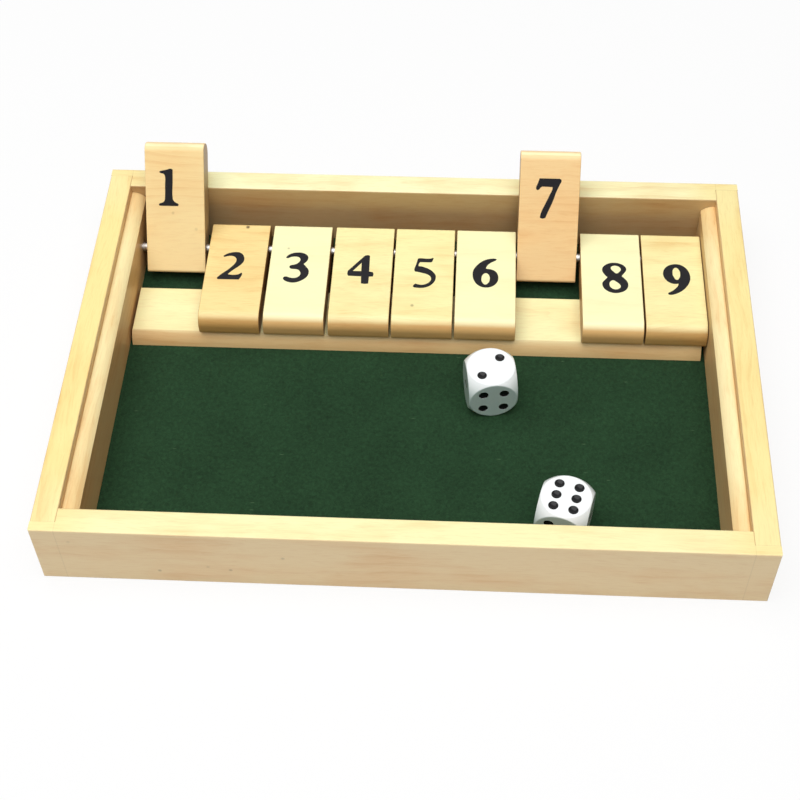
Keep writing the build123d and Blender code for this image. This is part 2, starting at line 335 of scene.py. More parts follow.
def lacquered_wood(
    name, face, top, grain="X", shift=(0, 0, 0), figure=0.3, flecks=0.1, knots=(), seams=(), fade=None,
    painted_light_span=PAINTED_LIGHT_ON_FACE, ends=END_TINT,
):
    """Maple or beech, planed along the grain and sealed with a satin lacquer. The eye sees soft clouds
    of paler and warmer wood, faint growth rings that come and go, short fine dashes along the grain,
    a few dark flecks, denser end grain and an even, low gloss.

    face and top are sRGB hex colours of the upright and of the level faces: the darker face colour is painted
    shade and the paler top colour painted light from above. shift moves the pattern,
    so that each board is its own piece of wood. knots are pin knots, each with its place, radius and
    darkness, and seams are glued joints, each as the lowest and highest (|x|, |y|) of a box, in mm.
    fade is a colour of the level faces at both ends of the board, with where it begins and is reached,
    in mm. pale is how level the surface must be for the first and for the whole of the top colour, which
    places the painted light, and ends is the tint of the end grain, which on the tiles is darker still and
    also paints the shade in the gaps between them."""
    wood = settings().wood
    material, tree, output = new_material(name)
    place = add(tree, "ShaderNodeTexCoord")
    mirrored = add(tree, "ShaderNodeVectorMath", {0: place.outputs["Object"]}, operation="ABSOLUTE")
    mirrored = add(tree, "ShaderNodeSeparateXYZ", {0: mirrored.outputs[0]})
    turn = (0, 0, math.radians(90)) if grain == "Y" else (0, 0, 0)
    in_mm = (1 / MM, 1 / MM, 1 / MM)
    board = add(
        tree, "ShaderNodeMapping", {0: place.outputs["Object"], "Rotation": turn, "Scale": in_mm}
    )
    board = add(tree, "ShaderNodeVectorMath", {0: board.outputs[0], 1: shift}, operation="ADD")

    # clouds, about 30 mm long and 11 mm across
    cloud_mm = (30, 11, 11)
    clouds = add(tree, "ShaderNodeVectorMath", {0: board.outputs[0], 1: cloud_mm}, operation="DIVIDE")
    clouds = add(tree, "ShaderNodeTexNoise", {0: clouds.outputs[0], "Scale": 1.0, "Detail": 3.0})
    ring, bent = growth_rings(tree, board, clouds, wood.ring_spacing)
    dark = dark_marks(tree, board, place, mirrored, flecks, knots, seams)

    # dashes of single fibres, drawn about three times as coarse as real ones so that they show
    dash_mm = (wood.fibre_length / MM, wood.fibre_width / MM, wood.fibre_width / MM)
    dash = add(tree, "ShaderNodeVectorMath", {0: bent.outputs[0], 1: dash_mm}, operation="DIVIDE")
    dash = add(
        tree, "ShaderNodeTexNoise", {0: dash.outputs[0], "Scale": 1.0, "Detail": 4.0, "Roughness": 0.7}
    )
    dark_dash = add(tree, "ShaderNodeMapRange", {0: dash.outputs["Fac"], "From Min": 0.48, "From Max": 0.8})

    # which way the surface faces: level faces take the paler top colour, painted light, upright faces the
    # darker face colour, painted shade, and end grain is darker, on the tiles also as painted shade in the
    # gaps between them
    facing = add(tree, "ShaderNodeVectorMath", {0: place.outputs["Normal"]}, operation="ABSOLUTE")
    facing = add(tree, "ShaderNodeSeparateXYZ", {0: facing.outputs[0]})
    first, whole = painted_light_span
    level = add(tree, "ShaderNodeMapRange", {0: facing.outputs["Z"], "From Min": first, "From Max": whole})
    end = add(
        tree, "ShaderNodeMapRange",
        {0: facing.outputs[grain], "From Min": 0.7, "From Max": 0.95, "To Max": 0.8},
    )
    upper = (*linear(top), 1)
    if fade:
        tone, begins, reached = fade
        along = add(
            tree, "ShaderNodeMapRange",
            {0: mirrored.outputs[grain], "From Min": begins * MM, "From Max": reached * MM},
            interpolation_type="SMOOTHSTEP",
        )
        upper = add(
            tree, "ShaderNodeMix", {0: along.outputs[0], 6: upper, 7: (*linear(tone), 1)}, data_type="RGBA"
        ).outputs[2]
    colour = add(
        tree, "ShaderNodeMix", {0: level.outputs[0], 6: (*linear(face), 1), 7: upper}, data_type="RGBA"
    )
    ring_share = 0.7
    lines = add(
        tree, "ShaderNodeMath", {0: ring.outputs[0], 1: ring_share, 2: dark_dash.outputs[0]},
        operation="MULTIPLY_ADD",
    )
    lines = add(
        tree, "ShaderNodeMath", {0: lines.outputs[0], 1: figure}, operation="MULTIPLY", use_clamp=True
    )
    warm = add(
        tree, "ShaderNodeMapRange",
        {0: clouds.outputs["Fac"], "From Min": 0.45, "From Max": 0.75, "To Max": figure},
    )
    for share, tint in ((lines, RING_TINT), (warm, CLOUD_TINT), (end, ends)):
        colour = add(
            tree, "ShaderNodeMix", {0: share.outputs[0], 6: colour.outputs[2], 7: (*linear(tint), 1)},
            data_type="RGBA", blend_type="MULTIPLY",
        )
    colour = add(
        tree, "ShaderNodeMix", {0: dark.outputs[0], 6: colour.outputs[2], 7: (*linear(MARK_COLOUR), 1)},
        data_type="RGBA",
    )

    relief = add(tree, "ShaderNodeMath", {0: dash.outputs["Fac"], 1: dark.outputs[0]}, operation="SUBTRACT")
    bump = add(
        tree, "ShaderNodeBump", {"Height": relief.outputs[0], "Distance": 0.03 * MM, "Strength": 0.5}
    )
    dull = add(
        tree, "ShaderNodeMapRange",
        {0: dash.outputs["Fac"], "To Min": wood.roughness - 0.08, "To Max": wood.roughness + 0.12},
    )
    surface = add(
        tree, "ShaderNodeBsdfPrincipled",
        {
            "Base Color": colour.outputs[2], "Roughness": dull.outputs[0], "IOR": 1.5,
            "Normal": bump.outputs[0],
        },
    )
    tree.links.new(surface.outputs[0], output.inputs[0])
    return material


def corner_seams():
    """The glued corners of the tray, in mm: hairlines where the side boards end and beside them, and
    the line that they leave across the end boards."""
    side = abs(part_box("left_wall")[1].x) / MM
    end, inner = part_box("left_wall")[1].y / MM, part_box("back_wall")[0].y / MM
    hair = 0.3
    sides = (((side, end - hair), (HALF_WIDTH, end)), ((side, inner), (side + hair, end)))
    ends = (((side, end), (side + hair, HALF_WIDTH)),)
    return sides, ends


class BoardsOperator(bpy.types.Operator):
    """Finishes the four boards of the tray."""

    bl_idname = "shut_the_box.boards"
    bl_label = "Tray boards"

    def execute(self, context):
        sides, ends = corner_seams()
        along = ("F8E8A6", HALF_WIDTH - 24, HALF_WIDTH - 6)
        across = ("F8E8A6", HALF_DEPTH - 28, HALF_DEPTH - 8)
        pinholes = (
            ((-73.4, -76.7, 5.8), 0.6, 0.35), ((-51.7, -76.7, 7.4), 0.6, 0.35),
            ((-35.4, -76.7, 14.9), 0.6, 0.25), ((-58.4, -76.7, 8.8), 0.6, 0.15),
            ((-98.9, -76.7, 20.0), 0.6, 0.12),
        )
        # each board's darker upright colour is painted shade and its paler top colour painted light
        front = lacquered_wood(
            "Maple board, front", "EAD1A3", "F7EFB6", "X", (0, 3, 0), 0.25, 0.1, pinholes, ends, along
        )
        # the back board's upright colour is darker than the others': painted shade on the inside of the tray
        back = lacquered_wood(
            "Maple board, back", "D0B281", "FCF9C6", "X", (140, 31, 8), 0.3, 0.05, seams=ends, fade=along
        )
        left = lacquered_wood(
            "Maple board, left", "E9C893", "F8E49A", "Y", (60, 8, 22), 0.25, 0.05, seams=sides, fade=across
        )
        right = lacquered_wood(
            "Maple board, right", "E9C893", "F9E7A0", "Y", (15, 52, 3), 0.25, 0.05, seams=sides, fade=across
        )
        give("front_wall", front)
        give("back_wall", back)
        give("left_wall", left)
        give("right_wall", right)
        return {"FINISHED"}


class StripsOperator(bpy.types.Operator):
    """Finishes the two strips that carry the rod."""

    bl_idname = "shut_the_box.strips"
    bl_label = "Side strips"

    def execute(self, context):
        across = ("F6DCA0", HALF_DEPTH - 36, HALF_DEPTH - 14)
        # the darker upright colour paints the shade on the strips' inner faces and the paler colour the light
        # on their crowns
        left = lacquered_wood(
            "Beech strip, left", "DBB57C", "FCEBB2", "Y", (33, 71, 5), 0.3, 0.05, fade=across,
            painted_light_span=PAINTED_LIGHT_ON_CROWN,
        )
        right = lacquered_wood(
            "Beech strip, right", "DBBA83", "FCEAB2", "Y", (90, 12, 40), 0.3, 0.05, fade=across,
            painted_light_span=PAINTED_LIGHT_ON_CROWN,
        )
        give("left_strip", left)
        give("right_strip", right)
        return {"FINISHED"}


class RestBarOperator(bpy.types.Operator):
    """Finishes the bar that the lowered tiles rest on."""

    bl_idname = "shut_the_box.rest_bar"
    bl_label = "Rest bar"

    def execute(self, context):
        # the darker upright colour is painted shade on the bar's nose and the paler top colour painted light
        give("rest_bar", lacquered_wood("Maple bar", "E2C088", "F8F1B8", "X", (77, 19, 66), 0.25, 0.08))
        return {"FINISHED"}


class BasePanelOperator(bpy.types.Operator):
    """Finishes the thin panel under the felt."""

    bl_idname = "shut_the_box.base_panel"
    bl_label = "Base panel"

    def execute(self, context):
        give("base_panel", hardboard())
        return {"FINISHED"}


def hardboard():
    """Pressed hardboard: brown and matt, with short pale fibres felted in every direction."""
    material, tree, output = new_material("Hardboard, pressed")
    place = add(tree, "ShaderNodeTexCoord")
    fibre_mm = 1.2
    fibres = add(
        tree, "ShaderNodeTexNoise",
        {
            0: place.outputs["Object"], "Scale": 1 / (fibre_mm * MM), "Detail": 6.0, "Roughness": 0.7,
            "Distortion": 1.5,
        },
    )
    colour = add(tree, "ShaderNodeValToRGB", {0: fibres.outputs["Fac"]})
    colour.color_ramp.elements[0].position, colour.color_ramp.elements[0].color = 0.3, (*linear("6F4A2B"), 1)
    colour.color_ramp.elements[1].position, colour.color_ramp.elements[1].color = 0.75, (*linear("A97B4F"), 1)
    bump = add(
        tree, "ShaderNodeBump", {"Height": fibres.outputs["Fac"], "Distance": 0.08 * MM, "Strength": 0.6}
    )
    surface = add(
        tree, "ShaderNodeBsdfPrincipled",
        {"Base Color": colour.outputs[0], "Roughness": 0.82, "IOR": 1.5, "Normal": bump.outputs[0]},
    )
    tree.links.new(surface.outputs[0], output.inputs[0])
    return material


# ---- felt ----
def dyed_felt():
    """Pressed wool felt dyed green: matt, with a short nap of tangled fibres that catches light at its
    edge, and a few threads of paler lint."""
    felt_colour = Vector(settings().felt.colour)
    material, tree, output = new_material("Wool felt, pressed and dyed")
    place = add(tree, "ShaderNodeTexCoord")
    clump_mm, fibre_mm, cloud_mm = 1.1, 0.28, 22
    clumps = add(
        tree, "ShaderNodeTexNoise",
        {
            0: place.outputs["Object"], "Scale": 1 / (clump_mm * MM), "Detail": 4.0, "Roughness": 0.7,
            "Distortion": 0.8,
        },
    )
    fibres = add(
        tree, "ShaderNodeTexNoise",
        {
            0: place.outputs["Object"], "Scale": 1 / (fibre_mm * MM), "Detail": 3.0, "Roughness": 0.6,
            "Distortion": 2.0,
        },
    )
    clouds = add(
        tree, "ShaderNodeTexNoise",
        {0: place.outputs["Object"], "Scale": 1 / (cloud_mm * MM), "Detail": 2.0},
    )
    clump_share, fibre_share, cloud_share = 0.5, 0.35, 0.15
    mixed = add(tree, "ShaderNodeMath", {0: clumps.outputs["Fac"], 1: clump_share}, operation="MULTIPLY")
    for pattern, share in ((fibres, fibre_share), (clouds, cloud_share)):
        mixed = add(
            tree, "ShaderNodeMath", {0: pattern.outputs["Fac"], 1: share, 2: mixed.outputs[0]},
            operation="MULTIPLY_ADD",
        )
    darkest, palest = 0.5, 1.75
    colour = add(tree, "ShaderNodeValToRGB", {0: mixed.outputs[0]})
    low, high = colour.color_ramp.elements
    low.position, low.color = 0.36, (*(felt_colour * darkest), 1)
    high.position, high.color = 0.66, (*(felt_colour * palest), 1)

    # lint: threads about 1.5 mm long and 0.25 mm wide, in an eighth of the cells of a 7 mm grid
    cell_mm, lengthwise, lint_share = 7, (1.0, 5.0, 5.0), 0.12
    lint = add(
        tree, "ShaderNodeVectorMath", {0: place.outputs["Object"], 1: lengthwise}, operation="MULTIPLY"
    )
    lint = add(tree, "ShaderNodeTexVoronoi", {0: lint.outputs[0], "Scale": 1 / (cell_mm * MM)})
    thread = add(
        tree, "ShaderNodeMapRange",
        {0: lint.outputs["Distance"], "From Min": 0.05, "From Max": 0.13, "To Min": 0.3, "To Max": 0.0},
    )
    few = add(tree, "ShaderNodeSeparateColor", {0: lint.outputs["Color"]})
    few = add(tree, "ShaderNodeMath", {0: few.outputs[0], 1: lint_share}, operation="LESS_THAN")
    thread = add(tree, "ShaderNodeMath", {0: thread.outputs[0], 1: few.outputs[0]}, operation="MULTIPLY")
    colour = add(
        tree, "ShaderNodeMix", {0: thread.outputs[0], 6: colour.outputs[0], 7: (*linear("6E8C66"), 1)},
        data_type="RGBA",
    )
    bump = add(
        tree, "ShaderNodeBump", {"Height": mixed.outputs[0], "Distance": 0.25 * MM, "Strength": 0.8}
    )
    surface = add(
        tree, "ShaderNodeBsdfPrincipled",
        {
            "Base Color": colour.outputs[2], "Roughness": 0.95, "IOR": 1.45, "Sheen Weight": 0.05,
            "Sheen Roughness": 0.5, "Sheen Tint": (*linear("6F9A70"), 1), "Specular IOR Level": 0.2,
            "Normal": bump.outputs[0],
        },
    )
    tree.links.new(surface.outputs[0], output.inputs[0])
    return material


def felt_sheet():
    """The felt as one laid sheet: an uneven nap on top, edges cut a little short of the boards."""
    felt = settings().felt
    low, high = FELT_BOX
    cut_short, edge_round, edge_fall = 0.2 * MM, 0.5 * MM, 0.2 * MM
    swell, ripple = 4.3 * MM, 2.6 * MM
    left, right = low.x + cut_short, high.x - cut_short
    front, back = low.y + cut_short, high.y - cut_short
    columns = felt.columns
    rows = round(columns * (back - front) / (right - left))
    sheet = bmesh.new()
    bmesh.ops.create_grid(sheet, x_segments=columns, y_segments=rows, size=0.5)
    for point in sheet.verts:
        x = left + (point.co.x + 0.5) * (right - left)
        y = front + (point.co.y + 0.5) * (back - front)
        fuzz = noise.noise(Vector((x, y, 0)) / swell) + 0.6 * noise.noise(Vector((x, y, 1)) / ripple)
        from_edge = min(x - left, right - x, y - front, back - y)
        fall = max(0.0, 1 - from_edge / edge_round) ** 2 * edge_fall
        point.co = (x, y, high.z - felt.nap * (0.5 + 0.3 * fuzz) - fall)
    rim = [edge for edge in sheet.edges if edge.is_boundary]
    made = bmesh.ops.extrude_edge_only(sheet, edges=rim)["geom"]
    for point in (item for item in made if isinstance(item, bmesh.types.BMVert)):
        point.co.z = low.z
    foot = [item for item in made if isinstance(item, bmesh.types.BMEdge)]
    bmesh.ops.contextual_create(sheet, geom=foot)
    bmesh.ops.recalc_face_normals(sheet, faces=sheet.faces)
    mesh = bpy.data.meshes.new("felt_sheet")
    sheet.to_mesh(mesh)
    sheet.free()
    for face in mesh.polygons:
        face.use_smooth = len(face.vertices) == 4
    return mesh


class FeltOperator(bpy.types.Operator):
    """Lays the felt on the base panel in place of its CAD solid."""

    bl_idname = "shut_the_box.felt"
    bl_label = "Felt"

    def execute(self, context):
        piece = new_piece("felt_sheet", felt_sheet(), "tray", dyed_felt())
        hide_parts("felt_lining")
        return {"FINISHED"}


# ---- steel rod ----
def drawn_steel():
    """Bright steel drawn through a die: a soft highlight along the rod, with fine lengthwise scratches."""
    material, tree, output = new_material("Steel, bright drawn")
    place = add(tree, "ShaderNodeTexCoord")
    scratch_mm = (30, 0.12, 0.12)
    scale = tuple(1 / (size * MM) for size in scratch_mm)
    drawn = add(tree, "ShaderNodeMapping", {0: place.outputs["Object"], "Scale": scale})
    scratches = add(tree, "ShaderNodeTexNoise", {0: drawn.outputs[0], "Scale": 1.0, "Detail": 3.0})
    rough = add(tree, "ShaderNodeMapRange", {0: scratches.outputs["Fac"], "To Min": 0.26, "To Max": 0.42})
    bump = add(
        tree, "ShaderNodeBump", {"Height": scratches.outputs["Fac"], "Distance": 0.01 * MM, "Strength": 0.4}
    )
    surface = add(
        tree, "ShaderNodeBsdfPrincipled",
        {
            "Base Color": (*linear("C2C0BC"), 1), "Metallic": 1.0, "Roughness": rough.outputs[0],
            "Normal": bump.outputs[0],
        },
    )
    tree.links.new(surface.outputs[0], output.inputs[0])
    return material


class RodOperator(bpy.types.Operator):
    """Finishes the steel rod."""

    bl_idname = "shut_the_box.rod"
    bl_label = "Pivot rod"

    def execute(self, context):
        give("pivot_rod", drawn_steel())
        return {"FINISHED"}


# ---- tiles ----
# For each tile: its upright and level colours, the upright one painted shade on its ends and sides and the
# level one painted light, the shift of its pattern, how strong its grain and how many its flecks are,
# and its pin knots, each a place at rest and a radius in mm and a darkness.
TILE_WOOD = {
    1: (
        "FFE3A6", "FCF8C6", (12, 5, 9), 0.2, 0.1,
        (((-85.8, 56.8, 24.2), 0.5, 0.22), ((-77.8, 53.5, 19.8), 0.6, 0.15)),
    ),
    2: ("CFA25F", "F6DE99", (51, 44, 2), 0.3, 0.1, (((-60.7, 59.3, 15.6), 0.7, 0.9),)),
    3: ("E4B877", "FBF9C4", (8, 90, 31), 0.08, 0.05, (((-45.4, 49.5, 15.6), 0.45, 0.35),)),
    4: ("DAAF6E", "FAF0B0", (72, 23, 64), 0.3, 0.05, ()),
    5: ("E0B472", "FAF1B0", (29, 61, 17), 0.25, 0.08, (((-1.4, 24.6, 15.6), 0.6, 0.5),)),
    6: ("E2B675", "FBF8C3", (95, 36, 50), 0.08, 0.05, ()),
    7: ("FED89C", "FCF6C2", (40, 13, 27), 0.25, 0.05, ()),
    8: ("E4B877", "FBF8C4", (63, 77, 39), 0.08, 0.05, ()),
    9: ("D0A968", "F8EFB0", (18, 29, 83), 0.3, 0.05, ()),
}


class TilesOperator(bpy.types.Operator):
    """Finishes the wood of the nine tiles, each cut from its own board."""

    bl_idname = "shut_the_box.tiles"
    bl_label = "Number tiles"

    def execute(self, context):
        for number, (face, top, shift, figure, flecks, knots) in TILE_WOOD.items():
            raised = HINGES[f"tile_{number}"]["range_deg"][0] < 0
            # painted light: the paler colour lies on the upper end of a raised tile and on the broad face of
            # a lying one, and the darker end tint also paints the shade in the gaps between tiles
            wood = lacquered_wood(
                f"Maple tile {number}", face, top, "X", shift, figure, flecks, knots,
                painted_light_span=PAINTED_LIGHT_ON_END if raised else PAINTED_LIGHT_ON_FACE, ends=TILE_END_TINT_AND_GAP_SHADE,
            )
            give(f"number_tile_{number}", wood)
        return {"FINISHED"}


# ---- numerals ----
# The outline of each numeral, in mm: x from the left edge of its tile, y from the foot line. An
# outline has one loop for its edge and one for each counter. A loop is a list of strokes that meet
# in corners, and a stroke of more than two points is a smooth curve through them.
NUMERALS = {
    1: [[
        [(9.65, 13.85), (9.55, 9.0), (9.45, 4.2), (9.7, 3.2), (10.55, 2.45), (11.25, 2.15)],
        [(11.25, 2.15), (11.45, 1.7), (11.15, 1.3)],
        [(11.15, 1.3), (4.85, 1.25)],
        [(4.85, 1.25), (4.6, 1.65), (4.85, 2.1)],
        [(4.85, 2.1), (5.85, 2.4), (6.55, 3.05), (6.75, 4.2), (6.9, 9.0), (6.95, 11.2), (6.6, 12.2),
         (5.65, 12.55), (5.25, 12.6)],
        [(5.25, 12.6), (5.05, 13.0), (5.25, 13.3)],
        [(5.25, 13.3), (7.35, 13.75), (9.15, 14.15), (9.65, 13.85)],
    ]],
    2: [[
        [(5.5, 12.6), (6.65, 13.55), (8.15, 14.2), (9.65, 14.45), (11.15, 14.2), (12.25, 13.2),
         (12.8, 11.8), (12.8, 10.3), (12.25, 9.0), (11.05, 7.5), (9.65, 6.1), (7.95, 4.05)],
        [(7.95, 4.05), (8.35, 3.85), (11.25, 3.9), (11.95, 4.25), (12.55, 4.9)],
        [(12.55, 4.9), (12.85, 4.4), (12.55, 2.8), (12.0, 1.6)],
        [(12.0, 1.6), (4.75, 1.55)],
        [(4.75, 1.55), (4.45, 2.0), (5.05, 3.1), (6.05, 4.3), (7.5, 5.8), (8.8, 7.4), (9.8, 9.0),
         (10.2, 10.4), (10.0, 11.5), (9.25, 12.3), (8.25, 12.6), (7.05, 12.45), (6.05, 12.05)],
        [(6.05, 12.05), (5.6, 12.15), (5.5, 12.6)],
    ]],
    3: [[
        [(5.5, 12.9), (6.3, 13.85), (7.6, 14.65), (9.3, 15.0), (11.0, 14.85), (12.3, 14.15),
         (13.05, 13.1), (13.1, 12.0), (12.7, 10.9), (11.75, 9.65)],
        [(11.75, 9.65), (12.8, 8.3), (13.6, 7.1), (13.85, 5.7), (13.55, 4.2), (12.7, 2.9), (11.4, 1.8),
         (10.0, 1.1), (8.6, 0.85), (7.0, 1.15), (5.8, 1.8), (5.25, 2.6), (5.4, 3.3), (6.1, 3.6),
         (6.8, 3.45), (7.6, 3.15), (8.6, 3.0), (9.7, 3.2), (10.6, 3.9), (11.0, 5.0), (10.75, 6.1),
         (10.1, 6.85), (9.2, 7.15), (7.8, 7.25), (7.15, 7.65), (6.95, 8.3), (7.3, 8.85), (8.2, 9.15),
         (9.1, 9.5), (9.9, 10.2), (10.4, 11.2), (10.4, 12.0), (9.9, 12.7), (9.0, 13.0), (8.0, 13.0),
         (7.1, 12.75), (6.0, 12.2), (5.5, 12.4), (5.5, 12.9)],
    ]],
    4: [[
        [(10.85, 14.4), (11.95, 14.6), (12.55, 14.3)],
        [(12.55, 14.3), (12.7, 6.95)],
        [(12.7, 6.95), (14.0, 6.65)],
        [(14.0, 6.65), (14.25, 5.7), (14.05, 4.65)],
        [(14.05, 4.65), (12.75, 4.55)],
        [(12.75, 4.55), (12.7, 1.35)],
        [(12.7, 1.35), (11.45, 1.15), (10.2, 1.35)],
        [(10.2, 1.35), (10.05, 4.6)],
        [(10.05, 4.6), (5.65, 4.7)],
        [(5.65, 4.7), (5.3, 5.4), (5.35, 7.0)],
        [(5.35, 7.0), (10.85, 14.4)],
    ], [
        [(9.85, 10.9), (9.95, 7.0)],
        [(9.95, 7.0), (7.05, 7.0)],
        [(7.05, 7.0), (9.85, 10.9)],
    ]],
    5: [[
        [(7.95, 13.55), (8.35, 13.75), (11.85, 13.7), (12.55, 13.85), (13.05, 14.1)],
        [(13.05, 14.1), (13.4, 14.0)],
        [(13.4, 14.0), (13.15, 13.0), (12.85, 12.2), (12.35, 11.95)],
        [(12.35, 11.95), (8.8, 11.95)],
        [(8.8, 11.95), (8.35, 11.0), (8.35, 10.05)],
        [(8.35, 10.05), (9.45, 9.95), (10.65, 9.5), (12.15, 8.7), (13.5, 7.4), (14.3, 6.0), (14.4, 4.7),
         (14.15, 3.4), (13.45, 2.1), (12.35, 1.0), (11.05, 0.3), (9.65, 0.0), (7.35, 0.1)],
        [(7.35, 0.1), (6.8, 0.5), (7.05, 1.4), (7.55, 1.9)],
        [(7.55, 1.9), (8.95, 1.5), (10.15, 1.5), (11.25, 1.95), (12.25, 2.8), (12.8, 4.0), (12.65, 5.1),
         (12.05, 5.9), (11.05, 6.5), (9.95, 6.85), (8.65, 7.25), (7.25, 7.5)],
        [(7.25, 7.5), (6.95, 8.1), (7.45, 10.8), (7.95, 13.55)],
    ]],
    6: [[
        [(13.85, 14.3), (13.05, 14.55), (11.85, 14.4), (10.35, 13.95), (8.75, 12.9), (7.35, 11.4),
         (6.35, 9.8), (5.8, 8.0), (5.8, 6.0), (6.25, 4.1), (7.25, 2.4), (8.65, 1.3), (10.25, 0.95),
         (11.85, 1.25), (13.25, 2.2), (14.25, 3.8), (14.55, 5.6), (14.25, 7.3), (13.35, 8.7),
         (12.05, 9.4), (10.85, 9.6), (10.2, 9.8)],
        [(10.2, 9.8), (10.65, 11.0), (11.75, 12.4), (13.25, 13.4), (13.85, 14.0), (13.85, 14.3)],
    ], [
        [(10.25, 7.6), (9.25, 6.9), (8.8, 5.2), (9.05, 3.4), (10.05, 2.35), (11.05, 3.0), (11.6, 4.6),
         (11.45, 6.4), (10.85, 7.35), (10.25, 7.6)],
    ]],
    7: [[
        [(6.65, 13.9), (13.6, 13.9)],
        [(13.6, 13.9), (14.15, 13.4), (13.65, 12.0), (12.4, 9.0), (11.8, 7.0), (11.05, 5.0), (10.2, 3.0),
         (9.15, 0.35)],
        [(9.15, 0.35), (8.2, 0.1), (7.25, 0.4)],
        [(7.25, 0.4), (7.55, 1.9), (9.3, 6.0), (10.4, 8.5), (11.15, 10.3), (11.15, 11.0)],
        [(11.15, 11.0), (7.7, 11.1)],
        [(7.7, 11.1), (7.2, 10.8), (6.5, 10.0), (6.0, 9.9), (5.6, 10.4), (6.15, 12.3), (6.65, 13.9)],
    ]],
    8: [[
        [(13.75, 7.9), (14.7, 9.4), (15.35, 10.5), (15.4, 11.6), (14.7, 12.8), (13.3, 13.7),
         (11.5, 14.05), (9.7, 13.75), (8.2, 12.75), (7.3, 11.4), (7.3, 9.9), (8.0, 8.4), (8.95, 7.2)],
        [(8.95, 7.2), (7.95, 5.9), (7.2, 4.8), (7.1, 3.6), (7.5, 2.3), (8.5, 1.1), (9.9, 0.3),
         (11.5, 0.05), (13.2, 0.4), (14.7, 1.3), (15.6, 2.6), (15.85, 4.1), (15.55, 5.5), (14.7, 6.8),
         (13.75, 7.9)],
    ], [
        [(12.1, 9.1), (11.0, 10.0), (10.25, 11.1), (10.3, 12.0), (11.1, 12.6), (12.2, 12.6), (13.2, 12.0),
         (13.6, 10.9), (13.0, 9.8), (12.1, 9.1)],
    ], [
        [(10.8, 5.9), (9.8, 5.2), (9.5, 3.9), (9.9, 2.6), (11.2, 1.75), (12.5, 2.0), (13.3, 3.1),
         (12.9, 4.2), (11.8, 5.3), (10.8, 5.9)],
    ]],
    9: [[
        [(11.8, 5.1), (10.55, 4.95), (9.05, 5.4), (7.75, 6.6), (6.95, 8.4), (6.9, 10.2), (7.55, 12.0),
         (8.75, 13.3), (10.35, 14.0), (11.95, 14.1), (13.55, 13.5), (14.95, 12.1), (15.75, 10.2),
         (16.0, 8.1), (15.65, 6.1), (14.7, 4.1), (13.35, 2.35), (11.65, 0.95), (9.75, 0.05), (8.75, -0.1),
         (8.1, 0.2), (8.15, 0.8)],
        [(8.15, 0.8), (9.75, 1.9), (10.9, 3.1), (11.6, 4.2), (11.8, 5.1)],
    ], [
        [(11.35, 12.45), (10.45, 11.8), (10.1, 10.2), (10.35, 8.3), (11.45, 6.85), (12.25, 7.7),
         (12.65, 9.4), (12.4, 11.3), (11.35, 12.45)],
    ]],
}


def numeral_mesh(number, depth):
    """The numeral as a flat layer of ink of that depth, closed all round, lying in the XY plane."""
    curve = bpy.data.curves.new("outline", "CURVE")
    curve.dimensions, curve.fill_mode = "2D", "BOTH"
    curve.resolution_u, curve.extrude = 6, depth / 2
    for loop in NUMERALS[number]:
        points = [(x * MM, y * MM, i == 0) for stroke in loop for i, (x, y) in enumerate(stroke[:-1])]
        if len(loop) == 1:
            points[0] = (*points[0][:2], False)
        spline = curve.splines.new("BEZIER")
        spline.bezier_points.add(len(points) - 1)
        spline.use_cyclic_u = True
        for knot, (x, y, corner) in zip(spline.bezier_points, points):
            knot.co = (x, y, 0)
            knot.handle_left_type = knot.handle_right_type = "VECTOR" if corner else "AUTO"
    outline = bpy.data.objects.new("outline", curve)
    bpy.context.scene.collection.objects.link(outline)
    bpy.context.view_layer.update()
    depsgraph = bpy.context.evaluated_depsgraph_get()
    mesh = bpy.data.meshes.new_from_object(outline.evaluated_get(depsgraph))
    bpy.data.objects.remove(outline)
    bpy.data.curves.remove(curve)
    solid = bmesh.new()
    solid.from_mesh(mesh)
    weld = 0.1 * depth
    bmesh.ops.remove_doubles(solid, verts=solid.verts, dist=weld)
    bmesh.ops.recalc_face_normals(solid, faces=solid.faces)
    solid.to_mesh(mesh)
    solid.free()
    return mesh


def stamped_ink():
    """Pigment foil stamped hot into the lacquer: a dull blue-black, with the wood's pores showing
    through as pinholes."""
    material, tree, output = new_material("Pigment foil, hot stamped")
    place = add(tree, "ShaderNodeTexCoord")
    grain_mm = (5, 0.4, 0.4)
    scale = tuple(1 / (size * MM) for size in grain_mm)
    grain = add(tree, "ShaderNodeMapping", {0: place.outputs["Object"], "Scale": scale})
    pores = add(
        tree, "ShaderNodeTexNoise", {0: grain.outputs[0], "Scale": 1.0, "Detail": 4.0, "Roughness": 0.7}
    )
    thin = add(
        tree, "ShaderNodeMapRange",
        {0: pores.outputs["Fac"], "From Min": 0.55, "From Max": 0.85, "To Max": 0.5},
    )
    ink = settings().numerals.ink_colour
    colour = add(
        tree, "ShaderNodeMix", {0: thin.outputs[0], 6: (*ink, 1), 7: (*linear("3A3438"), 1)}, data_type="RGBA"
    )
    rough = add(tree, "ShaderNodeMapRange", {0: pores.outputs["Fac"], "To Min": 0.4, "To Max": 0.6})
    bump = add(
        tree, "ShaderNodeBump", {"Height": pores.outputs["Fac"], "Distance": 0.02 * MM, "Strength": 0.4}
    )
    surface = add(
        tree, "ShaderNodeBsdfPrincipled",
        {
            "Base Color": colour.outputs[2], "Roughness": rough.outputs[0], "IOR": 1.5,
            "Specular IOR Level": 0.2, "Normal": bump.outputs[0],
        },
    )
    tree.links.new(surface.outputs[0], output.inputs[0])
    return material


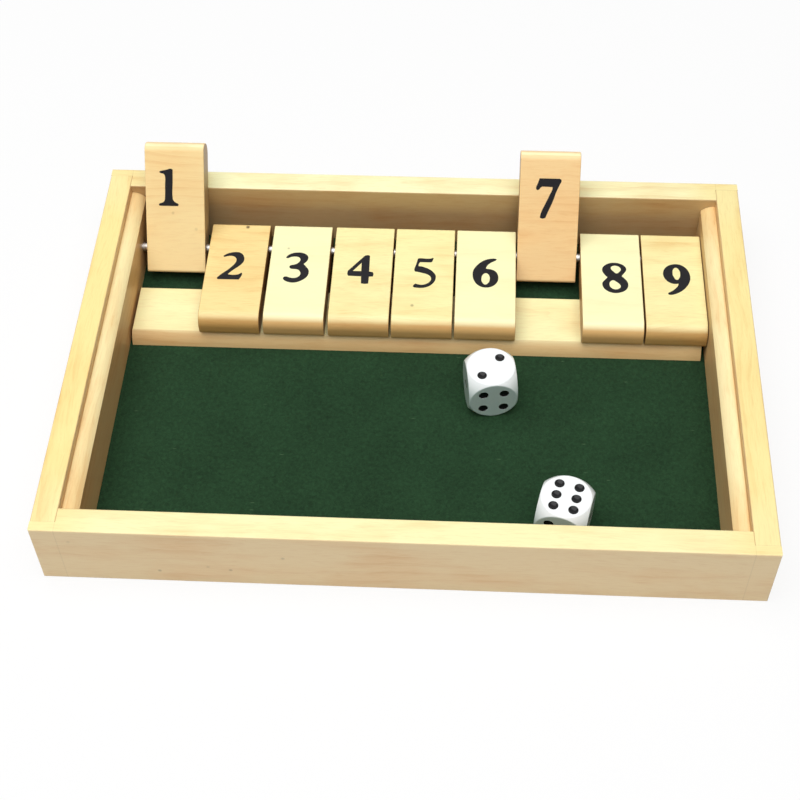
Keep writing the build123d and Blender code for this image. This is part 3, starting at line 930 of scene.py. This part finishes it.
class NumeralsOperator(bpy.types.Operator):
    """Stamps its numeral on both broad faces of every tile."""

    bl_idname = "shut_the_box.numerals"
    bl_label = "Numerals"

    def execute(self, context):
        numerals = settings().numerals
        ink = stamped_ink()
        sunk = 0.02 * MM
        half = TILE_THICKNESS / 2 + (numerals.ink_height - sunk) / 2
        for number in TILE_NUMBERS:
            hinge = HINGES[f"tile_{number}"]
            rod = Vector(hinge["pos_m"])
            left_edge = Vector((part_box(f"number_tile_{number}")[0].x, 0, 0))
            raised = math.radians(max(0, -hinge["range_deg"][0]))
            swing = Matrix.Translation((0, rod.y, rod.z)) @ Matrix.Rotation(-raised, 4, "X")
            shut = Matrix.Translation(left_edge + Vector((0, -numerals.shut_foot, half)))
            turned = Matrix.Rotation(math.pi, 4, "X")
            opened = Matrix.Translation(left_edge + Vector((0, -numerals.open_foot, -half))) @ turned
            for side, place in (("shut", shut), ("open", opened)):
                mesh = numeral_mesh(number, numerals.ink_height + sunk)
                mesh.transform(swing @ place)
                new_piece(f"numeral_{number}_{side}", mesh, f"tile_{number}", ink)
        return {"FINISHED"}


# ---- dice ----
def moulded_acrylic(die, turn):
    """Acrylic moulded and tumbled to a high gloss: clean white, with black enamel in the dimples, which
    lie deeper than the flat faces and nearer the middle than the rounded edges."""
    dice = settings().dice
    low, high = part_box(die)
    middle = (low + high) / 2
    half_size = (high.z - low.z) / 2
    dimple_starts, pip_reach, handling_mm = 0.03 * MM, 10.85 * MM, 2.5
    material, tree, output = new_material(f"Acrylic, moulded, {die}")
    place = add(tree, "ShaderNodeTexCoord")
    own = add(tree, "ShaderNodeVectorMath", {0: place.outputs["Object"], 1: middle}, operation="SUBTRACT")
    own = add(tree, "ShaderNodeVectorRotate", {0: own.outputs[0], "Angle": -turn}, rotation_type="Z_AXIS")
    out = add(tree, "ShaderNodeVectorMath", {0: own.outputs[0]}, operation="LENGTH")
    side = add(tree, "ShaderNodeVectorMath", {0: own.outputs[0]}, operation="ABSOLUTE")
    side = add(tree, "ShaderNodeSeparateXYZ", {0: side.outputs[0]})
    deep = add(tree, "ShaderNodeMath", {0: side.outputs["X"], 1: side.outputs["Y"]}, operation="MAXIMUM")
    deep = add(tree, "ShaderNodeMath", {0: deep.outputs[0], 1: side.outputs["Z"]}, operation="MAXIMUM")
    deep = add(
        tree, "ShaderNodeMath", {0: deep.outputs[0], 1: half_size - dimple_starts}, operation="LESS_THAN"
    )
    near = add(tree, "ShaderNodeMath", {0: out.outputs["Value"], 1: pip_reach}, operation="LESS_THAN")
    pip = add(tree, "ShaderNodeMath", {0: deep.outputs[0], 1: near.outputs[0]}, operation="MULTIPLY")

    marks = add(
        tree, "ShaderNodeTexNoise",
        {0: own.outputs[0], "Scale": 1 / (handling_mm * MM), "Detail": 5.0, "Roughness": 0.7},
    )
    shade = add(tree, "ShaderNodeMapRange", {0: marks.outputs["Fac"], "To Min": 0.97, "To Max": 1.0})
    white = add(
        tree, "ShaderNodeVectorMath", {0: tuple(dice.body_colour), "Scale": shade.outputs[0]},
        operation="SCALE",
    )
    # painted shade and painted reflection: the steep sides are greyer and greener, for the shade on them and
    # the green light that the felt throws up onto them
    normal = add(tree, "ShaderNodeSeparateXYZ", {0: place.outputs["Normal"]})
    painted_shade_and_felt_green = add(
        tree, "ShaderNodeMapRange",
        {0: normal.outputs["Z"], "From Min": 0.1, "From Max": 0.7, "To Min": 1.0, "To Max": 0.0},
    )
    white = add(
        tree, "ShaderNodeMix", {0: painted_shade_and_felt_green.outputs[0], 6: white.outputs[0], 7: (*linear("BED3CE"), 1)},
        data_type="RGBA",
    )
    colour = add(
        tree, "ShaderNodeMix", {0: pip.outputs[0], 6: white.outputs[2], 7: (*dice.pip_colour, 1)},
        data_type="RGBA",
    )
    rough = add(tree, "ShaderNodeMapRange", {0: marks.outputs["Fac"], "To Min": 0.1, "To Max": 0.24})
    bump = add(
        tree, "ShaderNodeBump", {"Height": marks.outputs["Fac"], "Distance": 0.02 * MM, "Strength": 0.2}
    )
    surface = add(
        tree, "ShaderNodeBsdfPrincipled",
        {
            "Base Color": colour.outputs[2], "Roughness": rough.outputs[0], "IOR": 1.49,
            "Specular IOR Level": 0.2, "Normal": bump.outputs[0],
        },
    )
    tree.links.new(surface.outputs[0], output.inputs[0])
    return material


# how far each die is turned about the vertical
DIE_TURNS = {"die_1": math.radians(8.7), "die_2": math.radians(-14.0)}


class DiceOperator(bpy.types.Operator):
    """Finishes the two dice."""

    bl_idname = "shut_the_box.dice"
    bl_label = "Dice"

    def execute(self, context):
        for die, turn in DIE_TURNS.items():
            give(die, moulded_acrylic(die, turn))
        return {"FINISHED"}


# ---- stage ----
def seen_plainly(tree):
    """1 for rays of the camera, of clear reflections and through glass, 0 for those that carry light."""
    path = add(tree, "ShaderNodeLightPath")
    seen = path.outputs["Is Camera Ray"]
    for ray in ("Is Glossy Ray", "Is Transmission Ray"):
        seen = add(tree, "ShaderNodeMath", {0: seen, 1: path.outputs[ray]}, operation="MAXIMUM").outputs[0]
    return seen


def table_top():
    """Matt white table: the camera and clear reflections see it a little brighter, so that it reads as
    plain white, and it still takes the shadow of the object."""
    material, tree, output = new_material("Paper backdrop, matt white")
    paper = add(tree, "ShaderNodeBsdfDiffuse", {0: (*linear("F2F2F2"), 1)})
    glow = add(tree, "ShaderNodeEmission", {0: (1, 1, 1, 1), 1: 1.0})
    glow_share = 0.85
    share = add(tree, "ShaderNodeMath", {0: seen_plainly(tree), 1: glow_share}, operation="MULTIPLY")
    surface = add(tree, "ShaderNodeMixShader", {0: share.outputs[0], 1: paper.outputs[0], 2: glow.outputs[0]})
    tree.links.new(surface.outputs[0], output.inputs[0])
    return material


class StageOperator(bpy.types.Operator):
    """Sets up the table, the lamp, the room light and the camera."""

    bl_idname = "shut_the_box.stage"
    bl_label = "Stage"

    def execute(self, context):
        stage = settings().stage
        scene = context.scene
        size, clearance = stage.floor_size / 2, 0.02 * MM
        corners = [(-size, -size, 0), (size, -size, 0), (size, size, 0), (-size, size, 0)]
        plane = bpy.data.meshes.new("table_top")
        plane.from_pydata(corners, [], [(0, 1, 2, 3)])
        floor = bpy.data.objects.new("table_top", plane)
        plane.materials.append(table_top())
        floor.location.z = -clearance
        scene.collection.objects.link(floor)

        softbox = bpy.data.lights.new("softbox", "AREA")
        softbox.shape = "RECTANGLE"
        softbox.size, softbox.size_y = stage.lamp_size
        softbox.energy = stage.lamp_power
        lamp = bpy.data.objects.new("softbox", softbox)
        lamp.location = stage.lamp
        lamp.rotation_euler = (-Vector(stage.lamp)).to_track_quat("-Z", "Y").to_euler()
        scene.collection.objects.link(lamp)

        world = bpy.data.worlds.new("plain_room")
        world.use_nodes = True
        world.node_tree.nodes.clear()
        tree = world.node_tree
        strength = add(
            tree, "ShaderNodeMapRange", {0: seen_plainly(tree), "To Min": stage.room_light, "To Max": 1.0}
        )
        room = add(tree, "ShaderNodeBackground", {0: (1, 1, 1, 1), 1: strength.outputs[0]})
        add(tree, "ShaderNodeOutputWorld", {0: room.outputs[0]})
        scene.world = world

        lens = bpy.data.cameras.new("camera")
        lens.sensor_width, lens.lens = 36.0, stage.lens
        camera = bpy.data.objects.new("camera", lens)
        where, aim = Vector(stage.camera), Vector(stage.aim)
        look = (aim - where).to_track_quat("-Z", "Y").to_matrix().to_4x4()
        camera.matrix_world = Matrix.Translation(where) @ look @ Matrix.Rotation(-stage.roll, 4, "Z")
        scene.collection.objects.link(camera)
        scene.camera = camera
        scene.view_settings.view_transform = "Standard"
        return {"FINISHED"}


OPERATORS = (
    BoardsOperator,
    BasePanelOperator,
    FeltOperator,
    StripsOperator,
    RestBarOperator,
    RodOperator,
    TilesOperator,
    NumeralsOperator,
    DiceOperator,
    StageOperator,
)


class GameSettings(bpy.types.PropertyGroup):
    """All settings of the game."""

    wood: PointerProperty(type=WoodSettings, name="Wood", description="Lacquered wood")
    numerals: PointerProperty(type=NumeralSettings, name="Numerals", description="Stamped numerals")
    felt: PointerProperty(type=FeltSettings, name="Felt", description="Felt on the floor of the tray")
    dice: PointerProperty(type=DiceSettings, name="Dice", description="The two dice")
    stage: PointerProperty(type=StageSettings, name="Stage", description="Camera, lamp and floor")


class ShutTheBoxPanel(bpy.types.Panel):
    """Lists the pieces of the game and their settings."""

    bl_idname = "VIEW3D_PT_shut_the_box"
    bl_label = "Shut the box game"
    bl_space_type = "VIEW_3D"
    bl_region_type = "UI"
    bl_category = "Shut the Box"

    def draw(self, context):
        for operator in OPERATORS:
            self.layout.operator(operator.bl_idname)
        for group in SETTINGS:
            box = self.layout.box()
            box.label(text=group.capitalize())
            owner = getattr(context.scene.shut_the_box, group)
            for name in owner.bl_rna.properties.keys():
                if name not in ("rna_type", "name"):
                    box.prop(owner, name)


CLASSES = (*SETTINGS.values(), GameSettings, *OPERATORS, ShutTheBoxPanel)


def register():
    for cls in CLASSES:
        bpy.utils.register_class(cls)
    bpy.types.Scene.shut_the_box = PointerProperty(type=GameSettings)


def unregister():
    del bpy.types.Scene.shut_the_box
    for cls in reversed(CLASSES):
        bpy.utils.unregister_class(cls)


def main():
    """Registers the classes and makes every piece."""
    register()
    for operator in OPERATORS:
        group, name = operator.bl_idname.split(".")
        getattr(getattr(bpy.ops, group), name)()


if __name__ == "__main__":
    main()
